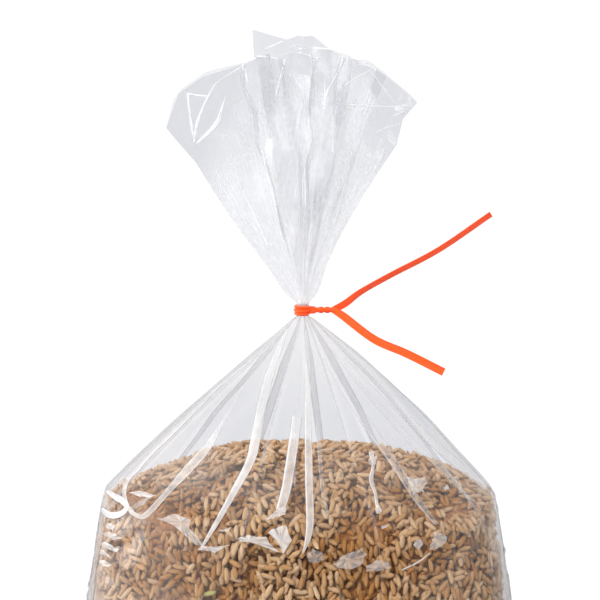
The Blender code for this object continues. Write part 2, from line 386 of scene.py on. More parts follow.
film = {
    "columns": 480, "foldColumns": 12, "bottomRows": 7, "sideRows": 50, "tentRows": 56, "neckRows": 5,
    "gap": 0.0004, "layer": 0.00035, "lowest": 0.0003,
    "wrinkle": 0.0009, "cornerFold": 0.0012, "bulge": 0.0030, "sway": 0.0036, "pleat": 0.0006,
    "fullness": 0.0027, "creaseBend": (0.35, 1.3),
    # shares of white, partly milky film and partly a painted sheen of reflected light: the belly, its
    # left and its far right; the left and the right rim; folds at the front and the back, partly a painted
    # highlight; the tent, and over the heap's edge at the right and the left
    "veil": (0.010, 0.29, 0.14), "edgeVeil": (0.54, 0.34), "foldVeil": (0.20, 0.06),
    "tentVeil": (0.030, 0.15, 0.50), "backShare": 0.35,
}

# folds of the tent: the turn where each meets the shoulder, and its width in metres; keep is the
# share of the side that it runs down, or below 0 the share of the tent at which it starts
tentFolds = (
    {"turn": 0.478, "width": 0.0050, "keep": 0.06},
    {"turn": 0.523, "width": 0.0045, "keep": 0.10},
    {"turn": 0.556, "width": 0.0030, "keep": 0.03},
    {"turn": 0.700, "width": 0.0016, "keep": -0.30},
    {"turn": 0.820, "width": 0.0016, "keep": -0.40},
    {"turn": 0.925, "width": 0.0040, "keep": 0.06},
    {"turn": 0.985, "width": 0.0035, "keep": 0.05},
    {"turn": 0.160, "width": 0.0045, "keep": -0.10},
    {"turn": 0.225, "width": 0.0045, "keep": -0.04},
    {"turn": 0.300, "width": 0.0055, "keep": -0.10},
    {"turn": 0.380, "width": 0.0050, "keep": 0.03},
)


def foldedColumns():
    # the folds in order and the column at which each starts; the flat film takes the other columns
    folds = sorted(tentFolds, key=lambda fold: fold["turn"])
    wide = film["foldColumns"]
    flat = film["columns"] - wide * len(folds)
    return folds, [int(round(fold["turn"] * flat + index * wide)) for index, fold in enumerate(folds)]


def bentTurns(folds, marks, widths, lift):
    # turn and outward offset of every column of one row, with each fold doubled back on itself
    third = film["foldColumns"] // 3
    knots, turns, offsets = [], [], []
    for fold, mark, width in zip(folds, marks, widths):
        half = width / 2
        knots += [mark, mark + third, mark + 2 * third, mark + 3 * third]
        turns += [fold["turn"] + half, fold["turn"] - half, fold["turn"] + half, fold["turn"] + 1.6 * half]
        offsets += [0.0, lift, 2 * lift, 0.0]
    total = film["columns"]
    knots = [knots[-1] - total, *knots, knots[0] + total]
    turns = [turns[-1] - 1, *turns, turns[0] + 1]
    offsets = [offsets[-1], *offsets, offsets[0]]
    columns = np.arange(total + 1)
    return np.interp(columns, knots, turns), np.interp(columns, knots, offsets)


def outwardOf(turn):
    before, after = outlineAt(turn - 0.002), outlineAt(turn + 0.002)
    tangent = np.stack([after[0] - before[0], after[1] - before[1]], -1)
    tangent /= np.linalg.norm(tangent, axis=-1)[..., None]
    return np.stack([tangent[..., 1], -tangent[..., 0], 0 * tangent[..., 0]], -1)


def foldWidth(fold, up):
    # a fold narrows to nothing on its way down the side
    if fold["keep"] <= 0:
        return 0.0
    return fold["width"] / girth * smooth((up - 1 + fold["keep"]) / max(fold["keep"], 0.01))


def sideRows(folds, marks):
    rows = []
    for step in range(film["bottomRows"]):
        turn = bentTurns(folds, marks, [0.0] * len(folds), 0)[0]
        row = sidePoint(turn, 0.0)
        row[:, 1] *= step / film["bottomRows"]
        row[:, 2] = film["lowest"]
        rows.append(row)
    for step in range(film["sideRows"]):
        up = step / film["sideRows"]
        turn, offset = bentTurns(folds, marks, [foldWidth(fold, up) for fold in folds], film["layer"])
        row = sidePoint(turn, bag["shoulderHeight"] * up)
        bends = ridged(latticeNoise(31, 46, 12, turn + 0.012 * np.sin(9 * up), up))
        wrinkle = film["wrinkle"] * np.clip(bends, 0, 1) ** 2
        corner = film["cornerFold"] * np.exp(-(((np.abs(np.cos(tau * turn)) - 0.88) / 0.05) ** 2))
        lift = film["gap"] + offset * min(1, 8 * up) + (wrinkle + corner) * smooth(up * 5)
        row += outwardOf(turn) * lift[:, None]
        row[:, 2] = np.maximum(row[:, 2], film["lowest"])
        rows.append(row)
    return rows


def tentRows(folds, marks):
    rows = []
    top = np.array([bag["neckX"], 0, bag["neckHeight"] - bag["neckHalf"]])
    for step in range(film["tentRows"]):
        up = step / film["tentRows"]
        around = mix(girth * bag["shoulderShare"], tau * bag["neckRadius"], up)
        widths = []
        for fold in folds:
            begun = 1.0 if fold["keep"] > 0 else smooth((up + fold["keep"]) / 0.06 + 0.2)
            widths.append(min(fold["width"] * begun / around, 0.030))
        turn, offset = bentTurns(folds, marks, widths, film["layer"] * min(1, 1.3 - up))
        foot = sidePoint(turn, bag["shoulderHeight"])
        foot[:, 2] += 0.001
        angle = turn * tau
        ring = np.stack([np.cos(angle), np.sin(angle), 0 * angle], -1)
        row = foot * (1 - up) + (top + bag["neckRadius"] * ring) * up
        bulge = film["bulge"] * math.sin(math.pi * up) ** 0.7 * (1 - up)
        sway = film["sway"] * latticeNoise(37, 38, 5, turn, up) * up * (1 - up)
        pleats = film["pleat"] * latticeNoise(41, 60, 3, turn, up) * up * (1 - up) * 2
        rightward = smooth(np.cos(angle) * 1.4)  # the right side stands out more
        full = film["fullness"] * math.sin(math.pi * up ** 1.6) * rightward
        outward = outwardOf(turn) * 0.8 + np.array([0, 0, 0.6])
        row += outward * (film["gap"] + offset + bulge + full + sway + pleats)[:, None]
        rows.append(row)
    return rows


flare = {
    "columns": 780, "rows": 62, "seed": 51, "away": 0.95,
    # round the mouth from its left corner: degrees from straight up, reach from the neck, depth;
    # where the degrees run back the film is folded over itself
    "front": (
        (-37.8, 0.1103, 0.000), (-31.8, 0.1207, -0.008), (-29.0, 0.1240, -0.011), (-21.7, 0.1275, -0.018),
        (-13.5, 0.1266, -0.023), (-15.5, 0.1231, -0.016), (-10.3, 0.1289, -0.028), (-4.1, 0.1262, -0.031),
        (-5.6, 0.1261, -0.020), (-2.4, 0.1284, -0.022), (3.3, 0.1277, -0.032), (1.3, 0.1277, -0.021),
        (6.0, 0.1306, -0.026), (9.2, 0.1288, -0.024), (8.1, 0.1255, -0.015), (11.0, 0.1257, -0.016),
        (15.0, 0.1269, -0.014), (19.3, 0.1231, -0.010), (26.6, 0.1177, -0.006), (29.4, 0.1152, -0.003),
    ),
    "back": (
        (25.3, 0.1161, 0.009), (17.8, 0.1204, 0.016), (20.2, 0.1181, 0.012), (13.5, 0.1202, 0.020),
        (10.0, 0.1219, 0.025), (11.5, 0.1201, 0.018), (6.4, 0.1228, 0.028), (1.8, 0.1279, 0.032),
        (0.4, 0.1279, 0.028), (-1.1, 0.1277, 0.033), (-3.8, 0.1263, 0.031), (-11.4, 0.1333, 0.029),
        (-11.6, 0.1220, 0.022), (-8.1, 0.1225, 0.017), (-15.9, 0.1200, 0.017), (-24.1, 0.1215, 0.011),
        (-30.4, 0.1205, 0.006),
    ),
    "levels": (0.0, 0.045, 0.09, 0.14, 0.20, 0.32, 0.44, 0.56, 0.68, 0.80, 0.91, 1.0),
    # how far to the right and to the left the outer edges lean at these levels
    "rightSide": (
        (0, 0.045, 0.09, 0.14, 0.2, 0.3, 0.45, 0.80, 0.90, 1),
        (62, 58, 53, 38, 31, 28.6, 28.4, 30.3, 28.0, 29.4),
    ),
    "leftSide": (
        (0, 0.045, 0.09, 0.14, 0.2, 0.3, 0.78, 0.88, 1),
        (-68, -64, -61, -52, -45.5, -42.3, -37.0, -37.6, -37.8),
    ),
    "swing": 2.6, "pleat": 2.4, "crestFrom": 0.352, "swell": 0.28, "streak": 0.0006,
    # seed, cells across and up, and strength of each size of wave
    "waves": ((61, 46, 4, 1.5), (62, 96, 5, 0.45), (64, 200, 6, 0.05)), "creaseBend": (0.45, 1.5),
    # soft white patches on the near side: x and height, half width and half height, strength
    "patches": (
        (-0.0275, 0.330, 0.005, 0.009, 0.25), (-0.0260, 0.288, 0.009, 0.010, 0.20),
        (0.0300, 0.311, 0.005, 0.008, 0.25), (0.0160, 0.322, 0.003, 0.014, 0.20),
        (-0.0050, 0.275, 0.010, 0.012, 0.12), (-0.0065, 0.334, 0.004, 0.006, 0.25),
        (-0.0350, 0.318, 0.008, 0.003, 0.20),
    ),
}


def patchHaze(row):
    near = smooth(0.5 - row[:, 1] / 0.01)
    total = 0
    for x, z, wide, tall, strength in flare["patches"]:
        total = total + strength * np.exp(-(((row[:, 0] - x) / wide) ** 2) - ((row[:, 2] - z) / tall) ** 2)
    return total * near


def streaks(sway, level, seed, across, down, start, span):
    return smooth((ridged(latticeNoise(seed, across, down, sway, level)) - start) / span)


def flareKnots():
    # the film's bends at each level, from the tie to the mouth: facets stand between them
    draw = np.random.default_rng(flare["seed"])
    nodes = np.array(flare["front"] + flare["back"] + flare["front"][:1])
    count = len(nodes)
    corner = np.zeros(count, bool)
    corner[[0, len(flare["front"]) - 1, count - 1]] = True
    centre = np.exp(-((nodes[:, 0] / 17) ** 2))
    levels = np.array(flare["levels"])
    degrees = np.tile(nodes[:, 0], (len(levels), 1))
    depth = np.tile(nodes[:, 2], (len(levels), 1))
    reach = np.tile(nodes[:, 1], (len(levels), 1))
    free = np.where(corner, 0, 0.35 + 0.65 * centre)
    inner = np.sin(np.pi * np.clip(levels, 0, 0.97) / 1.1)[:, None]
    degrees += draw.uniform(-1, 1, degrees.shape) * flare["swing"] * free * inner
    depth *= 1 + draw.uniform(-1, 1, depth.shape) * flare["swell"] * inner * (1 - corner)
    right = len(flare["front"]) - 1
    pleated = np.where(np.arange(count) % 2, 1, -1) * centre * flare["pleat"]
    degrees += pleated * np.sin(np.pi * np.clip(levels / 0.85, 0, 1))[:, None]
    degrees[:, right] = np.interp(levels, *flare["rightSide"])
    degrees[:, 0] = np.interp(levels, *flare["leftSide"])
    degrees[:, -1] = degrees[:, 0]
    lean = np.radians(degrees)
    along = reach * levels[:, None] * (1 + depth * levels[:, None] / flare["away"])
    widen = levels[:, None] ** 0.92
    rise = bag["neckHeight"] + bag["neckHalf"] + along * np.cos(lean)
    return np.stack([bag["neckX"] + along * np.sin(lean), depth * widen, rise], -1)


def flarePoints():
    knots = flareKnots()
    mouth = knots[-1]
    length = np.linalg.norm(np.diff(mouth, axis=0), axis=1) + 0.0015
    at = np.concatenate([[0], np.cumsum(length)])
    columns = flare["columns"]
    knotColumn = np.rint(at / at[-1] * columns)
    column = np.arange(columns + 1)
    right = len(flare["front"]) - 1
    turn = np.interp(column, [0, knotColumn[right], columns], [0.5, 1.0, 1.5])
    leans = [entry[0] for entry in (*flare["front"], *flare["back"], flare["front"][0])]
    lean = np.interp(column, knotColumn, leans)
    centre = np.exp(-((lean / 16) ** 2))
    neck = np.stack([
        bag["neckX"] + bag["neckRadius"] * np.cos(tau * turn), bag["neckRadius"] * np.sin(tau * turn),
        bag["neckHeight"] + bag["neckHalf"] * 0.6 + 0 * turn,
    ], -1)
    rows, haze, layered = [], [], []
    for step in range(flare["rows"] + 1):
        up = (step / flare["rows"]) ** 1.15
        level = np.interp(up, flare["levels"], np.arange(len(flare["levels"])))
        low = min(int(level), len(flare["levels"]) - 2)
        knot = mix(knots[low], knots[low + 1], level - low)
        row = np.stack([np.interp(column, knotColumn, knot[:, axis]) for axis in range(3)], -1)
        row = neck * (1 - up) ** 22 + row * (1 - (1 - up) ** 22)
        sway = turn + 0.006 * np.sin(7 * up + 9 * turn)
        wave = sum(part * latticeNoise(*cells, sway, up) for *cells, part in flare["waves"])
        calm = smooth((up - 0.52) / 0.30)
        size = flare["streak"] * mix(1.0, 0.10 + 0.40 * centre, calm) * min(1, 1.7 * up)
        front = np.where(np.mod(turn, 1) > 0.5, -1, 1)
        row[:, 1] += front * wave * size
        row[:, 0] += 0.35 * wave * size * centre
        rows.append(row)
        cloud = 0.5 + 0.4 * latticeNoise(63, 40, 7, sway, up)
        loose = 1 - smooth((up - 0.62) / 0.26)
        turned = np.gradient(np.interp(column, knotColumn, knot[:, 0])) * front > 0  # the film runs back here
        doubled = np.convolve(turned, np.ones(31) / 31, "same")
        several = mix(np.where(front < 0, 0.30, 0.0), 0.45 * centre + 0.10, loose) + 0.75 * (1 - calm)
        behind = np.where(front < 0, 0.0, smooth((row[:, 2] - flare["crestFrom"]) / 0.006))
        several = np.clip(np.maximum(several, np.where(turned, 1.0, 1.5 * doubled)), 0, 1)
        layered.append(mix(mix(filmLook["single"], 1.0, several), 0.0, behind))
        rimward = np.where(front < 0, 0.70, 1.0) * smooth((up - np.where(front < 0, 0.72, 0.60)) / 0.22)
        gathered = np.maximum(centre, 0.7 * (1 - calm)) * (1 - rimward)
        # fine, broad and web streaks are white lines of crumpled film, partly painted glints
        fine = streaks(sway, up, 66, 150, 7, 0.55, 0.35)
        broad = streaks(sway, up, 67, 70, 5, 0.60, 0.35)
        veil = mix(0.07, 0.48, gathered) * (0.8 + 0.4 * cloud) + 0.10 * (1 - up) ** 4
        web = streaks(sway, up, 68, 110, 26, 0.80, 0.20)
        crumpled = 0.30 * web * smooth((up - 0.42) / 0.20) * smooth((1 - up) / 0.12) * (front < 0) * centre
        streaked = (0.22 * fine + 0.18 * broad) * (0.12 + 0.88 * gathered)
        haze.append(veil + streaked + crumpled + patchHaze(row))
    points = np.array(rows)
    points[:, -1] = points[:, 0]
    return points, np.array(haze), np.array(layered)


def creases(points, seed, start, full):
    # how sharply the film bends at each point, for the pale line along a crease: partly the film's whitening,
    # partly a painted glint
    ring = points[:, :-1]
    found = np.zeros(ring.shape[:2])
    for axis in (0, 1):
        before, after = np.roll(ring, 1, axis=axis) - ring, np.roll(ring, -1, axis=axis) - ring
        length = np.linalg.norm(before, axis=-1) * np.linalg.norm(after, axis=-1)
        straight = -np.sum(before * after, axis=-1) / np.maximum(length, 1e-12)
        bend = np.arccos(np.clip(straight, -1, 1))
        if axis == 0:
            bend[[0, 1, -2, -1]] = 0
        found = np.maximum(found, smooth((bend - start) / (full - start)))
    turn = np.linspace(0, 1, ring.shape[1], endpoint=False)[None, :]
    height = np.linspace(0, 1, ring.shape[0])[:, None]
    shown = smooth(0.55 + 0.9 * latticeNoise(seed, 60, 14, turn, height))
    found = found * shown
    return np.concatenate([found, found[:, :1]], axis=1)


def softened(points, times, share):
    # rounds the bends a little, along the columns only; the last column repeats the first
    for _ in range(times):
        ring = points[:, :-1]
        average = (np.roll(ring, 1, axis=1) + np.roll(ring, -1, axis=1)) / 2
        ring = mix(ring, average, share)
        points = np.concatenate([ring, ring[:, :1]], axis=1)
    return points


def skinRows(folds, marks):
    rows = sideRows(folds, marks) + tentRows(folds, marks)
    angle = np.arange(film["columns"] + 1) / film["columns"] * tau
    radius = bag["neckRadius"] - 0.0002 + 0.00015 * np.cos(26 * angle)
    for step in range(film["neckRows"]):
        height = bag["neckHeight"] + mix(-bag["neckHalf"], bag["neckHalf"], step / (film["neckRows"] - 1))
        rows.append(np.stack([
            bag["neckX"] + radius * np.cos(angle), radius * np.sin(angle), height + 0 * angle,
        ], -1))
    return np.array(rows)


def makeSkin(material):
    folds, marks = foldedColumns()
    points = skinRows(folds, marks)
    points[:, -1] = points[:, 0]
    points = softened(points, 1, 0.5)
    milkAndSheen = creases(points, 71, *film["creaseBend"])
    foot = film["bottomRows"] + film["sideRows"]
    up = np.clip((np.arange(len(points)) - foot) / film["tentRows"], 0, 1)[:, None]
    fade = smooth((np.arange(len(points)) - foot + 4) / 8)[:, None]
    near = smooth(0.5 - points[:, :, 1] / 0.02)
    inFold = np.zeros(film["columns"] + 1)
    for mark in marks:
        inFold[mark:mark + film["foldColumns"] + 1] = 1
    # folds are whitened, the near ones most: milky film and a painted highlight
    foldVeil = mix(film["foldVeil"][1], film["foldVeil"][0], near) * inFold[None, :] * fade
    milkAndSheen = np.maximum(milkAndSheen * mix(0.10, 0.32, near), 0.30 * up ** 4)
    milkAndSheen = np.maximum(milkAndSheen, foldVeil)
    turns = np.arange(points.shape[1])[None, :] / film["columns"]
    heights = np.linspace(0, 1, len(points))[:, None]
    patch = 0.8 + 0.3 * latticeNoise(77, 14, 9, turns, heights)
    patch = patch + 0.2 * latticeNoise(78, 44, 24, turns, heights)
    side = points[:, :, 0] / bag["halfWidth"]
    # the belly's share, more to the left and at the rims and on the near side most, is a painted sheen of
    # reflected light
    leftward = smooth(-side)
    rim = smooth((np.abs(side) - 0.84) / 0.14) * np.where(side < 0, *film["edgeVeil"])
    spread = mix(film["veil"][0], film["veil"][1], leftward) + film["veil"][2] * smooth((side - 0.35) / 0.5)
    milkAndSheen = np.maximum(milkAndSheen, patch * (spread + rim) * (1 - up) ** 0.5 * mix(film["backShare"], 1.0, near))
    # over the heap's edge, a painted sheen of reflected light, stronger on the left
    heapEdge = np.exp(-(((up - 0.26) / 0.17) ** 2)) * near
    heapVeil = mix(film["tentVeil"][1], film["tentVeil"][2], leftward)
    milkAndSheen = np.maximum(milkAndSheen, mix(film["tentVeil"][0], heapVeil, heapEdge) * fade * patch)
    layered = np.maximum(inFold[None, :] * fade, up ** 2)
    single = filmLook["single"] - 0.10 * smooth(side * 1.6) * fade  # painted shade: the right of the tent is the darker
    return filmPiece("film_skin", points, milkAndSheen, mix(single, 1.0, layered), material)


def makeMouth(material):
    points, haze, layered = flarePoints()
    points = softened(points, 3, 0.45)
    milkAndSheen = np.clip(creases(points, 73, *flare["creaseBend"]) * 0.35 + haze, 0, 1)
    return filmPiece("film_mouth", points, milkAndSheen, layered, material)


def filmPiece(name, points, milkAndSheen, layered, material):
    piece, row, column = gridPiece(name, points)
    pointValues(piece, "milkAndSheen", milkAndSheen[row, column])
    pointValues(piece, "layered", layered[row, column])
    weld(piece, 2e-6)
    piece.data.materials.append(material)
    return piece


# folds that lie on the skin, each named for its place and traced through the picture plane: how
# milky it is, a white that also paints the highlight along the fold, then the pixel and the width in pixels
# of each mark on its way

foldStrips = {
    "tallFold": (
        0.80, (287, 330, 3), (272, 368, 8), (263, 400, 9), (256, 438, 10), (250, 462, 9), (234, 492, 7),
        (216, 524, 5), (202, 547, 2.5),
    ),
    "loopFold": (
        0.46, (243, 388, 2), (226, 417, 3), (208, 447, 8), (188, 470, 9), (168, 492, 6), (150, 512, 6),
        (141, 517, 5), (131, 511, 4.5), (125, 497, 4), (127, 482, 4), (139, 468, 4), (153, 452, 4),
        (182, 424, 4), (220, 385, 3),
    ),
    "middleFold": (0.62, (297, 417, 10), (294, 440, 10), (290, 466, 10), (286, 490, 10), (280, 511, 9)),
    "straightFold": (
        0.60, (307, 330, 3), (308, 380, 5), (308, 430, 7), (309, 480, 8), (310, 520, 8), (308, 538, 6),
        (303, 553, 1.5),
    ),
    "thinFold": (0.24, (302, 350, 1.5), (298, 400, 2), (295, 440, 3), (295, 487, 1.5)),
    "slimFold": (
        0.20, (312, 350, 1.5), (316, 400, 2.5), (319, 440, 4), (322, 486, 3.5), (326, 506, 3),
        (330, 522, 1),
    ),
    "rightFold": (
        0.20, (318, 345, 2), (340, 385, 5), (364, 420, 9), (384, 448, 9), (399, 471, 8), (416, 498, 7),
        (436, 524, 4),
    ),
    "outerFold": (
        0.16, (330, 348, 2), (360, 385, 4), (392, 421, 6), (412, 442, 6), (440, 468, 5), (470, 500, 3),
    ),
    "rimFold": (0.16, (345, 358, 2), (390, 402, 5), (425, 436, 8), (455, 463, 8), (486, 490, 3)),
    "crumpledFold": (0.62, (371, 452, 5), (373, 466, 3), (371, 480, 4.5), (375, 493, 3), (377, 506, 3.5)),
    "cornerRim": (
        1.00, (104, 489, 2), (114, 496, 6), (124, 502, 7), (127, 508, 5), (121, 514, 6), (110, 515, 7),
        (99, 506, 3),
    ),
    "lowLine": (0.90, (430, 553, 1.2), (418, 562, 1.4), (402, 570, 1.2)),
    "mouthLine": (1.00, (330, 103, 1), (375, 106, 1.5), (415, 107, 1)),
    "veinTop": (0.90, (343, 55, 1), (339, 70, 2.2), (328, 90, 1.8), (324, 105, 1)),
    "veinMiddle": (0.90, (312, 72, 1), (313, 90, 1.8), (313, 107, 1)),
    "veinNext": (0.80, (325, 78, 1), (325, 92, 1.6), (325, 105, 1)),
    "veinAcross": (0.80, (370, 70, 1), (357, 77, 1.4), (345, 85, 1)),
    "veinDown": (0.70, (370, 70, 1), (383, 87, 1.4), (395, 104, 1)),
    "veinBroad": (0.60, (331, 106, 2), (333, 126, 4), (333, 152, 2)),
    "veinLow": (0.70, (352, 150, 1), (345, 185, 2.4), (334, 225, 1.2)),
    "veinLeft": (0.60, (262, 150, 1.4), (272, 190, 3), (284, 236, 1.4)),
    "veinDeep": (0.60, (300, 140, 1.4), (302, 190, 2.6), (303, 250, 1.2)),
    "veinFar": (0.70, (236, 175, 1.2), (250, 205, 2.6), (268, 246, 1.4)),
    "cornerFold": (0.90, (393, 116, 1), (401, 112, 3), (409, 109, 2)),
    "sideGlint": (0.80, (377, 132, 1), (388, 127, 1.6), (400, 124, 1)),
    "lowGlint": (0.70, (385, 148, 1.6), (380, 160, 4), (373, 173, 1)),
    "mouthArc": (0.80, (371, 90, 0.8), (369, 102, 2), (361, 120, 1.2)),
    "lobeLine": (1.00, (215, 84, 1), (208, 97, 2), (202, 110, 2.2), (197, 124, 3), (194, 142, 1.5)),
    "lobeEdge": (1.00, (188, 94, 1.6), (189, 106, 1.8), (191, 120, 2.2), (194, 140, 1.2)),
    "lobeTop": (1.00, (187, 93, 1), (197, 95, 1.6), (208, 96, 1.4)),
    "lobeGlint": (1.00, (226, 96, 1), (222, 108, 2.2), (218, 121, 4.5), (209, 132, 4), (197, 143, 1.4)),
    "hemBelow": (0.80, (292, 51, 0.8), (305, 54, 1.4), (318, 58, 0.8)),
    "cornerCrease": (0.80, (242, 60, 1), (245, 70, 2), (248, 82, 1)),
    "lobeSeam": (0.80, (215, 84, 0.8), (226, 76, 1), (244, 65, 0.8)),
    "flapLine": (0.90, (265, 49, 1.2), (274, 45, 1.8), (283, 41, 1.2)),
    "frontHem": (0.80, (253, 56, 1), (266, 57, 1.6), (280, 59, 1)),
    "crestHem": (0.90, (299, 49, 0.8), (315, 48, 1.6), (331, 49, 1)),
    "mouthFold": (0.80, (285, 59, 1.4), (283, 70, 3), (280, 80, 2.4), (276, 95, 1.2)),
}

# crumpled bits of film, whitened partly as painted glints: how milky each is, then the pixels of its corners

foldFacets = {
    "footOfTall": (
        1.00, (197, 550), (202, 546), (213, 547), (222, 546), (230, 545), (223, 548), (215, 553),
        (207, 551),
    ),
    "smallGlint": (1.00, (217, 530), (226, 530), (231, 527), (229, 531), (222, 532)),
    "greyTurn": (
        0.80, (157, 519), (167, 517), (175, 514), (183, 517), (191, 520), (189, 528), (198, 537),
        (205, 547), (196, 545), (187, 537), (179, 530), (169, 523),
    ),
    "cornerFlap": (1.00, (129, 493), (140, 491), (150, 494), (157, 496), (150, 498), (140, 497)),
    "cornerShade": (0.45, (132, 507), (140, 501), (150, 497), (144, 505), (136, 509)),
    "footOfMiddle": (
        1.00, (265, 520), (270, 516), (275, 511), (281, 507), (287, 508), (285, 515), (278, 517),
        (272, 519),
    ),
    "crumpleLeft": (
        1.00, (232, 538), (240, 537), (248, 535), (257, 537), (266, 537), (269, 543), (277, 550),
        (279, 552), (273, 550), (265, 546), (257, 544), (248, 542), (240, 541),
    ),
    "crumpleMiddle": (
        1.00, (286, 522), (287, 527), (292, 540), (287, 548), (283, 554), (281, 548), (277, 541),
        (272, 537), (274, 534), (268, 533), (272, 529), (277, 528), (282, 526),
    ),
    "paleLump": (0.45, (307, 553), (313, 549), (322, 552), (325, 559), (316, 563), (308, 561)),
    "rightFlap": (
        0.85, (406, 477), (414, 479), (424, 477), (427, 483), (423, 488), (424, 493), (418, 492),
        (413, 495), (411, 489), (408, 483),
    ),
    "starTop": (0.60, (366, 457), (371, 461), (377, 455), (376, 464), (370, 465)),
    "starFoot": (1.00, (373, 515), (376, 506), (378, 504), (382, 511), (378, 514)),
    "starLow": (1.00, (378, 525), (384, 526), (390, 524), (386, 528), (382, 529)),
    "starRight": (1.00, (443, 488), (447, 485), (449, 489), (444, 491)),
    "flapLow": (0.70, (415, 537), (420, 539), (423, 544), (418, 550), (413, 545)),
    "flapRight": (
        0.62, (432, 540), (434, 532), (440, 533), (447, 537), (445, 543), (436, 549), (429, 550),
        (430, 545),
    ),
    "flapFront": (
        0.55, (342, 556), (352, 552), (363, 547), (367, 554), (363, 563), (352, 569), (340, 568),
        (334, 564),
    ),
    "flapBase": (0.55, (366, 566), (376, 560), (388, 562), (391, 568), (378, 571), (366, 571)),
    "edgeGlintHigh": (1.00, (107, 524), (112, 523), (116, 526), (113, 530), (108, 529)),
    "edgeGlintNext": (1.00, (103, 534), (110, 532), (116, 534), (123, 538), (115, 540), (108, 537)),
    "edgeGlintMiddle": (
        1.00, (100, 543), (106, 542), (112, 545), (120, 549), (117, 552), (109, 549), (103, 547),
    ),
    "edgeGlintLow": (1.00, (99, 549), (104, 550), (110, 555), (112, 558), (106, 556), (100, 553)),
    "edgeGlintBase": (1.00, (99, 561), (105, 560), (112, 565), (108, 567), (102, 565)),
    "crestGlare": (0.80, (347, 58), (356, 60), (367, 62), (370, 66), (358, 65), (350, 63)),
    "crestSlit": (1.00, (286, 47), (292, 45), (302, 44), (298, 47), (290, 48)),
    "cornerGlare": (0.80, (394, 108), (403, 104), (414, 103), (417, 105), (408, 110), (398, 113)),
}

foldLook = {
    "looseBelow": 300,  # a fold that starts higher in the picture than this pixel is on the loose film
    "looseRise": 0.35, "lift": 0.0002, "samples": 6, "fullWidth": 5, "skinAway": 0.93,
    "faint": 0.42, "fadeFrom": 400, "fadePixels": 50,  # fainter over the white above the heap
    # across the upper side of a fold: place, rise in mm and share of its haze; the large shares at the edges
    # paint the highlight along the fold's edges
    "upper": ((-1, 0.12, 1.7), (-0.80, 0.30, 1.6), (-0.66, 0.40, 0.85), (-0.20, 0.42, 0.72),
              (0.20, 0.42, 0.78), (0.56, 0.45, 0.95), (0.74, 0.40, 2.0), (1.0, 0.12, 2.0)),
    "underRise": 0.10, "underHaze": 0.3,
    "facetSeed": 29, "facetMiddle": 0.0010, "facetLift": (0.0003, 0.0009),
}


def pictureRay(px, py):
    # from the camera through a pixel of the square picture
    eye = Vector(camera["place"])
    ahead = Vector(camera["target"]) - eye
    focal = camera["pixels"] * ahead.length / camera["span"]
    half = camera["pixels"] / 2
    ahead.normalize()
    across = ahead.cross(Vector((0, 0, 1))).normalized()
    above = across.cross(ahead)
    return eye, (ahead * focal + across * (px - half) + above * (half - py)).normalized()


def onSkin(tree, px, py):
    eye, way = pictureRay(px, py)
    place, normal, index, distance = tree.ray_cast(eye, way)
    if place is None:
        place, normal, *_ = tree.find_nearest(eye + way * foldLook["skinAway"])
    if normal.dot(way) > 0:
        normal = -normal
    return np.array(place), np.array(normal)


def foldStrip(tree, name, milky, marks):
    # a flat band of film along the marks, its under side just clear of the skin
    upper = foldLook["upper"]
    under = [(place, foldLook["underRise"], foldLook["underHaze"]) for place, rise, share in upper[-2:0:-1]]
    across, rises, shares = np.array([*upper, *under, upper[0]]).T
    loose = marks[0][1] < foldLook["looseBelow"]
    flat = foldLook["looseRise"] if loose else 1.0
    route = smoothRoute([np.array(mark) for mark in marks], foldLook["samples"])
    rows, haze = [], []
    for index, mark in enumerate(route):
        way = route[min(index + 1, len(route) - 1)] - route[max(index - 1, 0)]
        side = np.array([-way[1], way[0]]) / max(math.hypot(way[0], way[1]), 1e-6)
        row = []
        for share, rise in zip(across, rises * 0.001):
            place, normal = onSkin(tree, *(mark[:2] + side * share * mark[2] / 2))
            lift = rise * flat * min(1, mark[2] / foldLook["fullWidth"]) + foldLook["lift"]
            row.append(place + normal * lift)
        rows.append(row)
        fade = float(smooth((mark[1] - foldLook["fadeFrom"]) / foldLook["fadePixels"]))
        shown = 1.0 if loose else mix(foldLook["faint"], 1.0, fade)
        haze.append(np.clip(milky * shares, 0, 1) * shown)
    piece, row, column = gridPiece("fold_" + name, np.array(rows))
    pointValues(piece, "milkAndSheen", np.array(haze)[row, column])
    weld(piece)
    return piece


def foldFacet(tree, name, milky, corners, draw):
    # each side of the outline is broken inward, so that streaks run to the middle; corners and broken points
    # take strong and weak white in turn, painted glint streaks
    corners = [np.array(corner) for corner in corners]
    middle = np.mean(corners, axis=0)
    outline = []
    for corner, following in zip(corners, [*corners[1:], corners[0]]):
        broken = mix(corner, following, draw.uniform(0.35, 0.65))
        outline += [corner, mix(broken, middle, draw.uniform(-0.10, 0.16))]
    middle = mix(middle, outline[draw.integers(len(outline))], 0.35)
    deselect()
    bpy.ops.mesh.primitive_circle_add(vertices=len(outline), radius=1, fill_type="TRIFAN")
    piece = bpy.context.object
    piece.name = piece.data.name = "facet_" + name
    centre, normal = onSkin(tree, *middle)
    values = []
    for vertex in piece.data.vertices:
        if vertex.co.length < 0.5:
            vertex.co = centre + normal * foldLook["facetMiddle"]
            values.append(0.62 * milky)
            continue
        step = int(round(math.atan2(vertex.co.y, vertex.co.x) / tau % 1 * len(outline)))
        place, facing = onSkin(tree, *outline[step % len(outline)])
        vertex.co = place + facing * foldLook["facetLift"][step % 2]
        values.append((draw.uniform(0.75, 1.0), draw.uniform(0.20, 0.70))[step % 2] * milky)
    pointValues(piece, "milkAndSheen", values)
    piece.data.update()
    return piece


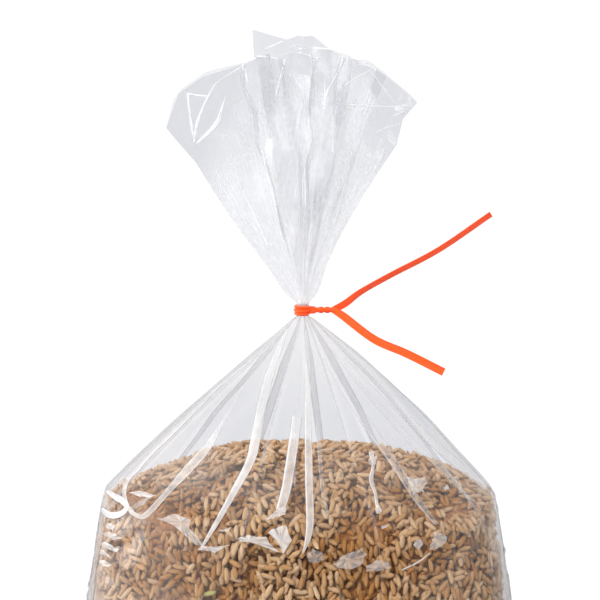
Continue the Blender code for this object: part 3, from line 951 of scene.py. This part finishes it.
def makeFolds(skins, material):
    tree = BVHTree.FromPolygons(*skinPolygons(skins))
    pieces = [foldStrip(tree, name, milky, marks) for name, (milky, *marks) in foldStrips.items()]
    draw = np.random.default_rng(foldLook["facetSeed"])
    pieces += [foldFacet(tree, name, milky, corners, draw) for name, (milky, *corners) in foldFacets.items()]
    deselect()
    for piece in pieces:
        piece.select_set(True)
    bpy.context.view_layer.objects.active = pieces[0]
    bpy.ops.object.join()
    folds = bpy.context.object
    folds.name = folds.data.name = "film_folds"
    folds.data.materials.append(material)
    return folds


def skinPolygons(skins):
    places, faces = [], []
    for skin in skins:
        start = len(places)
        places += [tuple(vertex.co) for vertex in skin.data.vertices]
        faces += [tuple(start + index for index in face.vertices) for face in skin.data.polygons]
    return places, faces


# twist tie

tie = {
    "width": 0.0040, "thickness": 0.00045, "ridge": 0.00018, "wire": 0.0005,
    "bandHalf": 0.0025, "bandThickness": 0.0012, "groove": 0.0008, "opening": math.radians(30),
    "twistStart": 0.0060, "twistLength": 0.0095, "twistTurns": 1.5, "twistWidth": 0.0034, "spacing": 0.0017,
    # the way of each free end from its strand, and how it faces at its tip
    "lowerEnd": (
        (0, 0, 0), (0.005, -0.002, -0.0030), (0.020, -0.008, -0.0135), (0.036, -0.012, -0.0200),
        (0.054, -0.016, -0.0285),
    ),
    "upperEnd": (
        (0, 0, 0), (0.006, 0.002, 0.0030), (0.014, 0.005, 0.0085), (0.029, 0.008, 0.0165),
        (0.053, 0.010, 0.0290), (0.079, 0.010, 0.0470),
    ),
    "lowerFacing": (-0.25, -1.0, 0.2), "upperFacing": (-0.35, 0.8, 0.6),
}


def smoothRoute(points, samples):
    ends = [points[0] * 2 - points[1], *points, points[-1] * 2 - points[-2]]
    found = []
    for before, start, end, after in zip(ends, ends[1:], ends[2:], ends[3:]):
        for step in range(samples):
            t = step / samples
            found.append(
                start + 0.5 * (end - before) * t + (before - 2.5 * start + 2 * end - 0.5 * after) * t ** 2
                + (1.5 * start - 0.5 * before - 1.5 * end + 0.5 * after) * t ** 3
            )
    return [*found, points[-1]]


def tieRoute():
    # (place, facing, width, share of the wound band) from the lower end round the neck to the upper end
    neck = np.array([bag["neckX"], 0, bag["neckHeight"]])
    radius = bag["neckRadius"] + 0.0003 + tie["thickness"] / 2
    band = []
    for step in range(73):
        angle = mix(tie["opening"], tau - tie["opening"], step / 72)
        out = np.array([math.cos(angle), math.sin(angle), 0])
        wound = float(smooth(min(step, 72 - step) / 8))
        band.append((neck + out * radius, out, mix(tie["twistWidth"], tie["width"], wound), wound))
    strands = []
    for side in (1, -1):
        strand = []
        for step in range(41):
            turn = tau * tie["twistTurns"] * step / 40
            out = side * np.array([0, math.cos(turn), math.sin(turn)])
            along = tie["twistStart"] + tie["twistLength"] * step / 40
            place = neck + np.array([along, 0, 0]) + out * tie["spacing"] / 2
            strand.append((place, out, tie["twistWidth"], 0.0))
        strands.append(strand)
    tails = []
    for strand, end in zip(strands, ("lower", "upper")):
        start, facing = strand[-1][0], strand[-1][1]
        places = smoothRoute([start + np.array(offset) for offset in tie[end + "End"]], 12)[1:]
        tail = []
        for step, place in enumerate(places, 1):
            share = step / len(places)
            turned = mix(facing, np.array(tie[end + "Facing"]), float(smooth(share * 2)))
            tail.append((place, turned, mix(tie["twistWidth"], tie["width"], float(smooth(share * 3))), 0.0))
        tails.append(tail)
    return [*reversed(tails[0]), *reversed(strands[0]), *band, *strands[1], *tails[1]]


def tieSection(width, wound):
    # across and out, round the strip: flat faces, soft edges, the wire's ridge; or the layered band
    half, thin = width / 2, tie["thickness"] / 2
    ridge, wire = thin + tie["ridge"], tie["wire"]
    strip = [
        (-half, -thin * 0.5), (-half * 0.96, -thin), (-wire * 2, -thin), (-wire, -ridge),
        (wire, -ridge), (wire * 2, -thin), (half * 0.96, -thin), (half, -thin * 0.5),
        (half, thin * 0.5), (half * 0.96, thin), (wire * 2, thin), (wire, ridge),
        (-wire, ridge), (-wire * 2, thin), (-half * 0.96, thin), (-half, thin * 0.5),
    ]
    tall, outer, deep = tie["bandHalf"], tie["bandThickness"] - thin, tie["groove"]
    low = tall / 3
    band = [
        (-tall, -thin * 0.5), (-tall * 0.96, -thin), (-low, -thin),
        (-low / 2, -thin), (low / 2, -thin), (low, -thin),
        (tall * 0.96, -thin), (tall, -thin * 0.5), (tall, outer - deep), (tall * 0.72, outer - deep * 0.1),
        (low, outer - deep), (low * 0.45, outer), (-low * 0.45, outer), (-low, outer - deep),
        (-tall * 0.72, outer - deep * 0.2), (-tall, outer - deep),
    ]
    return np.array([(mix(a[0], b[0], wound), mix(a[1], b[1], wound)) for a, b in zip(strip, band)])


def makeTie(material):
    route = tieRoute()
    rows = []
    for index, (place, facing, width, wound) in enumerate(route):
        ahead, behind = route[min(index + 1, len(route) - 1)][0], route[max(index - 1, 0)][0]
        along = (ahead - behind) / np.linalg.norm(ahead - behind)
        across = np.cross(facing, along)
        across /= np.linalg.norm(across)
        out = np.cross(along, across)
        section = tieSection(width, wound)
        ring = place + across * section[:, 0:1] + out * section[:, 1:2]
        rows.append(np.concatenate([ring, ring[:1]]))
    first, last = rows[0], rows[-1]
    rows = [
        np.repeat(first.mean(axis=0)[None], len(first), 0), *rows,
        np.repeat(last.mean(axis=0)[None], len(last), 0),
    ]
    piece, row, column = gridPiece("tie_strip", np.array(rows))
    across = np.array([0, 0, 0.3, 0.5, 0.5, 0.7, 1, 1, 1, 1, 0.7, 0.5, 0.5, 0.3, 0, 0, 0])
    pointValues(piece, "across", across[column])
    weld(piece)
    bpy.ops.object.shade_smooth_by_angle(angle=math.radians(40))
    piece.data.materials.append(material)
    return piece


# materials

def newMaterial(name):
    material = bpy.data.materials.new(name)
    material.use_nodes = True
    material.node_tree.nodes.clear()
    return material, material.node_tree


def node(tree, kind, inputs=(), **settings):
    # a node and its settings; an input takes a value, or a link where it is given an output
    made = tree.nodes.new("ShaderNode" + kind)
    for name, value in settings.items():
        setattr(made, name, value)
    for name, value in dict(inputs).items():
        if isinstance(value, bpy.types.NodeSocket):
            tree.links.new(value, made.inputs[name])
        else:
            made.inputs[name].default_value = value
    return made


def ramp(tree, value, *stops):
    # a colour ramp between two stops, each a position and a colour
    made = node(tree, "ValToRGB", {"Fac": value})
    for stop, (position, colour) in zip(made.color_ramp.elements, stops):
        stop.position = position
        stop.color = (*colour, 1)
    return made.outputs["Color"]


def onObject(tree):
    return node(tree, "TexCoord").outputs["Object"]


# the darkest and the lightest colour of each kind of grain, and its roughness; the darkest also serves as the
# painted shade of grains sunk in pits
riceLook = {
    "rice_tan": ((0.41, 0.190, 0.054), (0.63, 0.415, 0.228), 0.38),
    "rice_golden": ((0.42, 0.185, 0.046), (0.63, 0.395, 0.190), 0.36),
    "rice_pale": ((0.46, 0.230, 0.075), (0.65, 0.448, 0.265), 0.38),
    "rice_brown": ((0.37, 0.158, 0.037), (0.60, 0.375, 0.186), 0.40),
    "rice_straw": ((0.43, 0.208, 0.063), (0.64, 0.432, 0.246), 0.38),
    "rice_green": ((0.34, 0.31, 0.08), (0.56, 0.52, 0.20), 0.42),
}


def riceMaterial(name, deep, light, roughness):
    material, tree = newMaterial(name)
    toneAndPitShade = node(tree, "Attribute", attribute_name="toneAndPitShade")
    along = node(tree, "Attribute", attribute_name="along")
    fleck = node(tree, "TexNoise", {"Vector": onObject(tree), "Scale": 900, "Detail": 3})
    flecked = node(
        tree, "Math", {0: fleck.outputs["Fac"], 1: 0.5, 2: toneAndPitShade.outputs["Fac"]}, operation="MULTIPLY_ADD",
    )
    # the ramp's deep end is also the painted shade of grains in pits
    colour = ramp(tree, flecked.outputs[0], (0.25, deep), (1.0, light))
    fromMiddle = node(tree, "Math", {0: along.outputs["Fac"]}, operation="ABSOLUTE")
    tips = node(
        tree, "MapRange", {"Value": fromMiddle.outputs[0], "From Min": 0.6, "From Max": 1.0, "To Max": 0.35},
    )
    tipColour = (*[value * 0.62 for value in deep], 1)
    blend = node(
        tree, "Mix", {"Factor": tips.outputs["Result"], "A": colour, "B": tipColour}, data_type="RGBA",
    )
    bump = node(tree, "Bump", {"Strength": 0.25, "Distance": 0.0002, "Height": fleck.outputs["Fac"]})
    shader = node(tree, "BsdfPrincipled", {
        "Base Color": blend.outputs["Result"], "Roughness": roughness, "Specular IOR Level": 0.28,
        "Normal": bump.outputs["Normal"],
    })
    node(tree, "OutputMaterial", {"Surface": shader.outputs[0]})
    return material


def coreMaterial():
    material, tree = newMaterial("rice_underneath_painted_shade")
    grains = node(tree, "TexVoronoi", {"Vector": onObject(tree), "Scale": 330}).outputs["Distance"]
    bump = node(tree, "Bump", {"Strength": 0.8, "Distance": 0.001, "Height": grains}, invert=True)
    # the rice under the loose grains is painted darker and redder than they are, a painted shade with warm
    # bounce light; each cell darkens towards its edge, painted shade between grains
    shader = node(tree, "BsdfPrincipled", {
        "Base Color": ramp(tree, grains, (0.0, (0.46, 0.20, 0.060)), (1.0, (0.24, 0.085, 0.018))),
        "Roughness": 0.6, "Normal": bump.outputs["Normal"],
    })
    node(tree, "OutputMaterial", {"Surface": shader.outputs[0]})
    return material


# tint is one layer of film, layeredTint several; haze is the milky share of clear film, and
# creaseHaze what the white attribute adds, milky film at creases and folds along with painted sheen and
# glints; glare is the mirror's share, grazeGlare what it gains at a glancing look
filmLook = {
    "tint": (0.770, 0.780, 0.812), "milkAndSheenColour": (0.81, 0.815, 0.835), "single": 0.40,
    "layeredTint": (0.950, 0.952, 0.962), "foldTint": (1.0, 1.0, 1.0), "foldColour": (0.95, 0.955, 0.97),
    "haze": 0.002, "creaseHaze": 0.90, "passing": 0.5, "roughness": 0.07,
    "glare": 0.040, "grazeGlare": 0.70, "grazePower": 4.0,
}


def filmMaterial(name, tint, milkAndSheenColour):
    material, tree = newMaterial(name)
    place = onObject(tree)
    layered = node(tree, "Attribute", attribute_name="layered").outputs["Fac"]
    milkAndSheen = node(tree, "Attribute", attribute_name="milkAndSheen").outputs["Fac"]
    tints = {"Factor": layered, "A": (*tint, 1), "B": (*filmLook["layeredTint"], 1)}
    clear = node(tree, "Mix", tints, data_type="RGBA")
    through = node(tree, "BsdfTransparent", {"Color": clear.outputs["Result"]})
    front = node(
        tree, "BsdfPrincipled", {"Base Color": (*milkAndSheenColour, 1), "Roughness": 0.3, "Specular IOR Level": 0.3},
    )
    behind = node(tree, "BsdfTranslucent", {"Color": (*milkAndSheenColour, 1)})
    milky = node(tree, "MixShader", {0: filmLook["passing"], 1: front.outputs[0], 2: behind.outputs[0]})
    crinkle = node(tree, "TexNoise", {"Vector": place, "Scale": 150, "Detail": 2})
    uneven = node(tree, "MapRange", {
        "Value": crinkle.outputs["Fac"], "From Min": 0.35, "From Max": 0.65, "To Min": 0.80, "To Max": 1.15,
    })
    # the attribute's white is milky film and also the painted sheen and glints of reflected light, made
    # uneven by noise
    unevenMilkAndSheen = node(tree, "Math", {0: milkAndSheen, 1: uneven.outputs["Result"]}, operation="MULTIPLY")
    haze = node(
        tree, "Math", {0: unevenMilkAndSheen.outputs[0], 1: filmLook["creaseHaze"], 2: filmLook["haze"]},
        operation="MULTIPLY_ADD",
    )
    body = node(tree, "MixShader", {0: haze.outputs[0], 1: through.outputs[0], 2: milky.outputs[0]})
    ripple = node(tree, "TexNoise", {"Vector": place, "Scale": 160, "Detail": 2})
    bump = node(tree, "Bump", {"Strength": 0.14, "Distance": 0.0005, "Height": ripple.outputs["Fac"]})
    facing = bump.outputs["Normal"]
    mirror = node(tree, "BsdfGlossy", {"Roughness": filmLook["roughness"], "Normal": facing})
    edge = node(tree, "LayerWeight", {"Blend": 0.5, "Normal": facing})
    grazing = node(tree, "Math", {0: edge.outputs["Facing"], 1: filmLook["grazePower"]}, operation="POWER")
    glare = node(
        tree, "Math", {0: grazing.outputs[0], 1: filmLook["grazeGlare"], 2: filmLook["glare"]},
        operation="MULTIPLY_ADD", use_clamp=True,
    )
    full = node(tree, "MixShader", {0: glare.outputs[0], 1: body.outputs[0], 2: mirror.outputs[0]})
    node(tree, "OutputMaterial", {"Surface": full.outputs[0]})
    return material


def tieMaterial():
    material, tree = newMaterial("orange_strip")
    across = node(tree, "Attribute", attribute_name="across")
    rub = node(tree, "TexNoise", {"Vector": onObject(tree), "Scale": 420})
    # the colour runs lighter from one edge of the strip to the other, with noise; round the neck the upper
    # edge is the lighter
    acrossWithMottle = node(
        tree, "Math", {0: rub.outputs["Fac"], 1: 0.45, 2: across.outputs["Fac"]}, operation="MULTIPLY_ADD",
    )
    colour = ramp(tree, acrossWithMottle.outputs[0], (0.1, (0.88, 0.066, 0.008)), (1.0, (0.98, 0.084, 0.011)))
    shader = node(tree, "BsdfPrincipled", {"Base Color": colour, "Roughness": 0.38})
    node(tree, "OutputMaterial", {"Surface": shader.outputs[0]})
    return material


# stage: a white sweep, a broad light over the camera, a softer box at each side; each box has a
# place, a target, a size and a power, and the sun a direction, a strength and an angle

stage = {
    "floorRadius": 80, "floorTone": 0.26, "floorGlow": 0.70, "floorFelt": 0.72, "floorMirrored": 0.10,
    "roomFront": 0.10, "roomBack": 0.95, "backdrop": 1.1,
    "key": ((-0.20, -1.20, 1.75), (0, 0, 0.14), (2.2, 1.8), 22),
    "leftBox": ((-1.25, -0.10, 0.45), (0, 0, 0.18), (0.9, 1.0), 10),
    "rightBox": ((1.25, 0.20, 0.50), (0, 0, 0.18), (0.4, 1.0), 3),
    "sun": ((-0.62, -1.0, 0.90), 2.75, 28),
}


def depthFade(tree, output, near, far, nearValue, farValue):
    # a value that goes from nearValue to farValue with Y
    split = node(tree, "SeparateXYZ", {0: node(tree, "TexCoord").outputs[output]})
    return node(tree, "MapRange", {
        "Value": split.outputs["Y"], "From Min": near, "From Max": far,
        "To Min": nearValue, "To Max": farValue,
    }).outputs["Result"]


def makeStage():
    deselect()
    bpy.ops.mesh.primitive_circle_add(vertices=96, radius=stage["floorRadius"], fill_type="NGON")
    floor = bpy.context.object
    floor.name = "floor"
    material, tree = newMaterial("white_table")
    path = node(tree, "LightPath")
    glow = node(tree, "Math", {0: path.outputs["Is Camera Ray"], 1: stage["floorGlow"]}, operation="MULTIPLY")
    seen = node(tree, "BsdfPrincipled", {
        "Base Color": (*[stage["floorTone"]] * 3, 1), "Roughness": 0.9, "Specular IOR Level": 0.1,
        "Emission Color": (1, 1, 1, 1), "Emission Strength": glow.outputs[0],
    })
    fade = depthFade(tree, "Object", -0.10, 0.60, stage["floorMirrored"], stage["roomBack"])
    mirrored = node(tree, "Emission", {"Strength": fade})
    felt = node(tree, "BsdfDiffuse", {"Color": (*[stage["floorFelt"]] * 3, 1)})
    gather = node(
        tree, "MixShader", {0: path.outputs["Is Diffuse Ray"], 1: seen.outputs[0], 2: felt.outputs[0]},
    )
    choose = node(
        tree, "MixShader", {0: path.outputs["Is Glossy Ray"], 1: gather.outputs[0], 2: mirrored.outputs[0]},
    )
    node(tree, "OutputMaterial", {"Surface": choose.outputs[0]})
    floor.data.materials.append(material)


def addLamp(name, light, place, target):
    lamp = bpy.data.objects.new(name, light)
    lamp.location = place
    lamp.rotation_euler = (Vector(target) - Vector(place)).to_track_quat("-Z", "Y").to_euler()
    bpy.context.scene.collection.objects.link(lamp)
    return lamp


def boxLight(name):
    place, target, size, power = stage[name]
    light = bpy.data.lights.new(name, "AREA")
    light.shape = "RECTANGLE"
    light.size, light.size_y = size
    light.energy = power
    return addLamp(name, light, place, target)


def makeLights():
    world = bpy.data.worlds.new("studio")
    bpy.context.scene.world = world
    world.use_nodes = True
    tree = world.node_tree
    tree.nodes.clear()
    fade = depthFade(tree, "Generated", -0.75, 0.25, stage["roomFront"], stage["roomBack"])
    room = node(tree, "Background", {"Color": (1, 1, 1, 1), "Strength": fade})
    backdrop = node(tree, "Background", {"Color": (1, 1, 1, 1), "Strength": stage["backdrop"]})
    path = node(tree, "LightPath")
    choose = node(
        tree, "MixShader", {0: path.outputs["Is Camera Ray"], 1: room.outputs[0], 2: backdrop.outputs[0]},
    )
    node(tree, "OutputWorld", {"Surface": choose.outputs[0]})
    boxLight("key").visible_glossy = False  # no sheen over the whole film
    boxLight("leftBox")
    boxLight("rightBox").visible_glossy = False
    place, strength, spread = stage["sun"]
    light = bpy.data.lights.new("sun", "SUN")
    light.energy = strength
    light.angle = math.radians(spread)
    sun = addLamp("sun", light, (0, 0, 0), -Vector(place))
    sun.visible_glossy = False  # lights the rice without a second glare on the film


# the camera's place and the point it looks at, span metres of which fill the picture
camera = {"place": (0.0, -0.95, 0.38), "target": (0.0005, 0, 0.235), "span": 0.300, "pixels": 600}


def makeCamera():
    data = bpy.data.cameras.new("camera")
    lens = bpy.data.objects.new("camera", data)
    bpy.context.scene.collection.objects.link(lens)
    place, target = Vector(camera["place"]), Vector(camera["target"])
    lens.location = place
    lens.rotation_euler = (target - place).to_track_quat("-Z", "Y").to_euler()
    data.sensor_width = 36
    data.lens = data.sensor_width * (target - place).length / camera["span"]
    data.clip_start = 0.01
    bpy.context.scene.camera = lens


makeCamera()
makeStage()
makeLights()
bpy.context.scene.view_settings.view_transform = "Standard"
bpy.context.scene.cycles.transparent_max_bounces = 64
print("stage, lights and camera placed")

grains = makeRice({name: riceMaterial(name, *look) for name, look in riceLook.items()})
core = makeCore(coreMaterial())
for piece in [core, *grains]:
    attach(piece, "root")
    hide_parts("rice")
print("rice poured")

clearFilm = filmMaterial("clear_film", filmLook["tint"], filmLook["milkAndSheenColour"])
skins = [makeSkin(clearFilm), makeMouth(clearFilm)]
folds = makeFolds(skins, filmMaterial("film_fold", filmLook["foldTint"], filmLook["foldColour"]))
for piece in [*skins, folds]:
    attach(piece, "root")
    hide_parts("film_bag")
print("film made")

strip = makeTie(tieMaterial())
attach(strip, "root")
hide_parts("twist_tie")
print("tie made")
